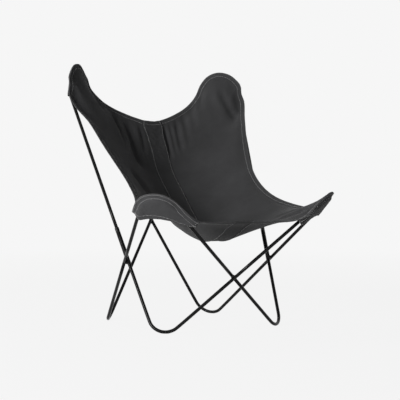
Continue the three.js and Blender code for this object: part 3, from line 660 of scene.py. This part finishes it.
def split_at_corners(loop):
    """The two runs of a pocket's open edge between its two sharpest corners."""
    places = [vert.co.copy() for vert in loop]
    count = len(places)

    def turn(number):
        before = places[number] - places[number - corner_window]
        return before.angle(places[(number + corner_window) % count] - places[number])

    first = max(range(count), key=turn)
    apart = int(corner_spacing * count)
    others = [(first + step) % count for step in range(apart, count - apart)]
    low, high = sorted((first, max(others, key=turn)))
    return places[low:high + 1], places[high:] + places[:low + 1]


for end in ("rear", "front"):
    for side in ("left", "right"):
        name = f"{end}_pocket_{side}"
        bm = subdivided(one_layer(name, faces_out[end]), cloth_levels)
        panel_surface = cloths["sling_panel_" + side][0]
        sewn, mouth = sorted(split_at_corners(open_edge(bm)), key=rim_distance)
        inner_corner = min(mouth[0], mouth[-1], key=lambda at: abs(at.x))
        sewn_tree = nearness([sewn])
        mouth_tree = nearness([mouth])
        rod = merged(f"{end}_horn_rod_{side}")
        rod_surface = BVHTree.FromBMesh(rod)
        rod.free()

        def pocket_shape(vert):
            spot, number, inside = sewn_tree.find(vert.co)
            to_mouth = mouth_tree.find(vert.co)[2]
            in_hem = 1 - ease((to_mouth - mouth_hem) / hem_step)
            rim_spot = sling_rim.find(spot)[0]
            to_rim = rim_spot - panel_surface.find_nearest(rim_spot)[1] * pocket_under_hem - spot
            sag = Vector((0.0, 0.0, -mouth_sag[end] * peak(to_mouth, mouth_sag_reach)))
            push = pucker * noise.noise(vert.co * pucker_scale)
            slack = pocket_slack * noise.noise(vert.co * pocket_slack_scale)
            push += slack * ease(inside / hem_width)
            push -= stitch_sink * peak(inside - hem_width, row_width)
            wear = pocket_cut_wear * peak(inside, cut_wear_width)
            wear += mouth_wear * peak(to_mouth, mouth_wear_width)
            drawn = drawn_share[end] * peak((vert.co - inner_corner).length, drawn_reach)
            free = ease(inside / pocket_reach)
            move = to_rim * (1 - free) + sag * free + (spot - vert.co) * drawn
            move += vert.normal * push
            on_rod, rod_normal = rod_surface.find_nearest(vert.co + move)[:2]
            room = (vert.co + move - on_rod).dot(rod_normal)
            move += vert.normal * max(over_rod - room, 0.0)
            return move, wear, in_hem

        dress(bm, pocket_shape)
        cloths[name] = (BVHTree.FromBMesh(bm), sewn, mouth)
        add_cloth(name + "_canvas", name, bm, pocket_canvas_painted_light)


# Topstitching: rows of lockstitch in grey bonded thread, along the hems, round the pockets and
# down both sides of the middle strip. Each stitch is a short bead that sinks into the cloth.
stitch_pitch = 4.2 * millimetre
stitch_length = 3.2 * millimetre
thread_thickness = 1.1 * millimetre
thread_proud_share = 0.15
thread_grey = 0.42
thread_roughness = 0.6
soiled_share = 0.6
clean_share = 1.2
hem_row = hem_width - millimetre
seam_row = 2 * millimetre
strip_row = 3.5 * millimetre
pocket_row = 3 * millimetre


def thread_material():
    """Grey bonded thread, soiled in places, with a soft twist."""
    material, tree, shader = new_material("grey_thread", thread_roughness)
    where = add_node(tree, "ShaderNodeTexCoord")
    soil = add_node(tree, "ShaderNodeTexNoise", {"Scale": 60.0, "Detail": 4.0})
    tone = add_node(tree, "ShaderNodeValToRGB")
    soiled, clean = tone.color_ramp.elements
    soiled.position, soiled.color = 0.35, grey(thread_grey * soiled_share)
    clean.position, clean.color = 0.65, grey(thread_grey * clean_share)
    twist = add_node(tree, "ShaderNodeTexWave", {"Scale": 500.0}, bands_direction="DIAGONAL")
    bump = add_node(tree, "ShaderNodeBump", {"Strength": 0.3, "Distance": 0.2 * millimetre})
    tree.links.new(where.outputs["Object"], soil.inputs["Vector"])
    tree.links.new(where.outputs["Object"], twist.inputs["Vector"])
    tree.links.new(soil.outputs["Fac"], tone.inputs["Fac"])
    tree.links.new(twist.outputs["Fac"], bump.inputs["Height"])
    tree.links.new(tone.outputs["Color"], shader.inputs["Base Color"])
    tree.links.new(bump.outputs[0], shader.inputs["Normal"])
    return material


def along_line(places, pitch):
    """Places a pitch apart along a line, each with the line's direction there."""
    spots = []
    wanted = pitch / 2
    walked = 0.0
    for first, second in zip(places, places[1:]):
        length = (second - first).length
        while length > 0 and walked + length >= wanted:
            spot = first.lerp(second, (wanted - walked) / length)
            spots.append((spot, (second - first).normalized()))
            wanted += pitch
        walked += length
    return spots


def stitch_places(surface, line, inset, rise):
    """Where the stitches of a row lie on a cloth, an inset away from the line that it follows."""
    places = []
    for place, run in along_line(line, stitch_pitch):
        normal = surface.find_nearest(place)[1]
        inward = normal.cross(run).normalized() * inset
        if surface.find_nearest(place + inward)[3] > surface.find_nearest(place - inward)[3]:
            inward.negate()
        spot, normal, face, gap = surface.find_nearest(place + inward)
        if gap > inset:
            continue
        run = (run - normal * run.dot(normal)).normalized()
        turn = Matrix((run, normal.cross(run), normal)).transposed().to_4x4()
        turn.translation = spot + normal * rise
        places.append(turn)
    return places


def sew(name, rows):
    """Joins rows of stitches, each a cloth, a line, an inset and a rise, into one piece."""
    bm = bmesh.new()
    for row in rows:
        for place in stitch_places(*row):
            stitch = one_stitch.copy()
            stitch.transform(place)
            bm.from_mesh(stitch)
            bpy.data.meshes.remove(stitch)
    add_piece(name, bm, thread, "canvas_black")


bm = bmesh.new()
stitch_form = Matrix.Diagonal((stitch_length / 2, thread_thickness / 2, thread_thickness / 2, 1.0))
bmesh.ops.create_uvsphere(bm, u_segments=6, v_segments=4, radius=1.0, matrix=stitch_form)
one_stitch = bpy.data.meshes.new("one_stitch")
bm.to_mesh(one_stitch)
bm.free()
thread = thread_material()
proud = thread_thickness * thread_proud_share
under_hem = -hem_thickness - proud
under_single = -canvas_thickness - proud
for side in ("left", "right"):
    surface, outer, seam = cloths["sling_panel_" + side]
    sew(f"hem_stitches_{side}", [(surface, outer, hem_row, proud)])
    sew(f"under_stitches_{side}", [
        (surface, outer, hem_row, under_hem),
        (surface, seam, seam_row, under_single),
    ])
side_rows = [(strip_surface, run, strip_row, proud) for run in strip_sides]
end_rows = [(strip_surface, run, hem_row, proud) for run in strip_ends]
sew("strip_stitches", side_rows + end_rows)
for end in ("rear", "front"):
    for side in ("left", "right"):
        surface, sewn, mouth = cloths[f"{end}_pocket_{side}"]
        sew(f"{end}_pocket_stitches_{side}", [
            (surface, sewn, hem_width, proud),
            (surface, sewn, pocket_row, proud),
            (surface, mouth, mouth_hem, proud),
        ])
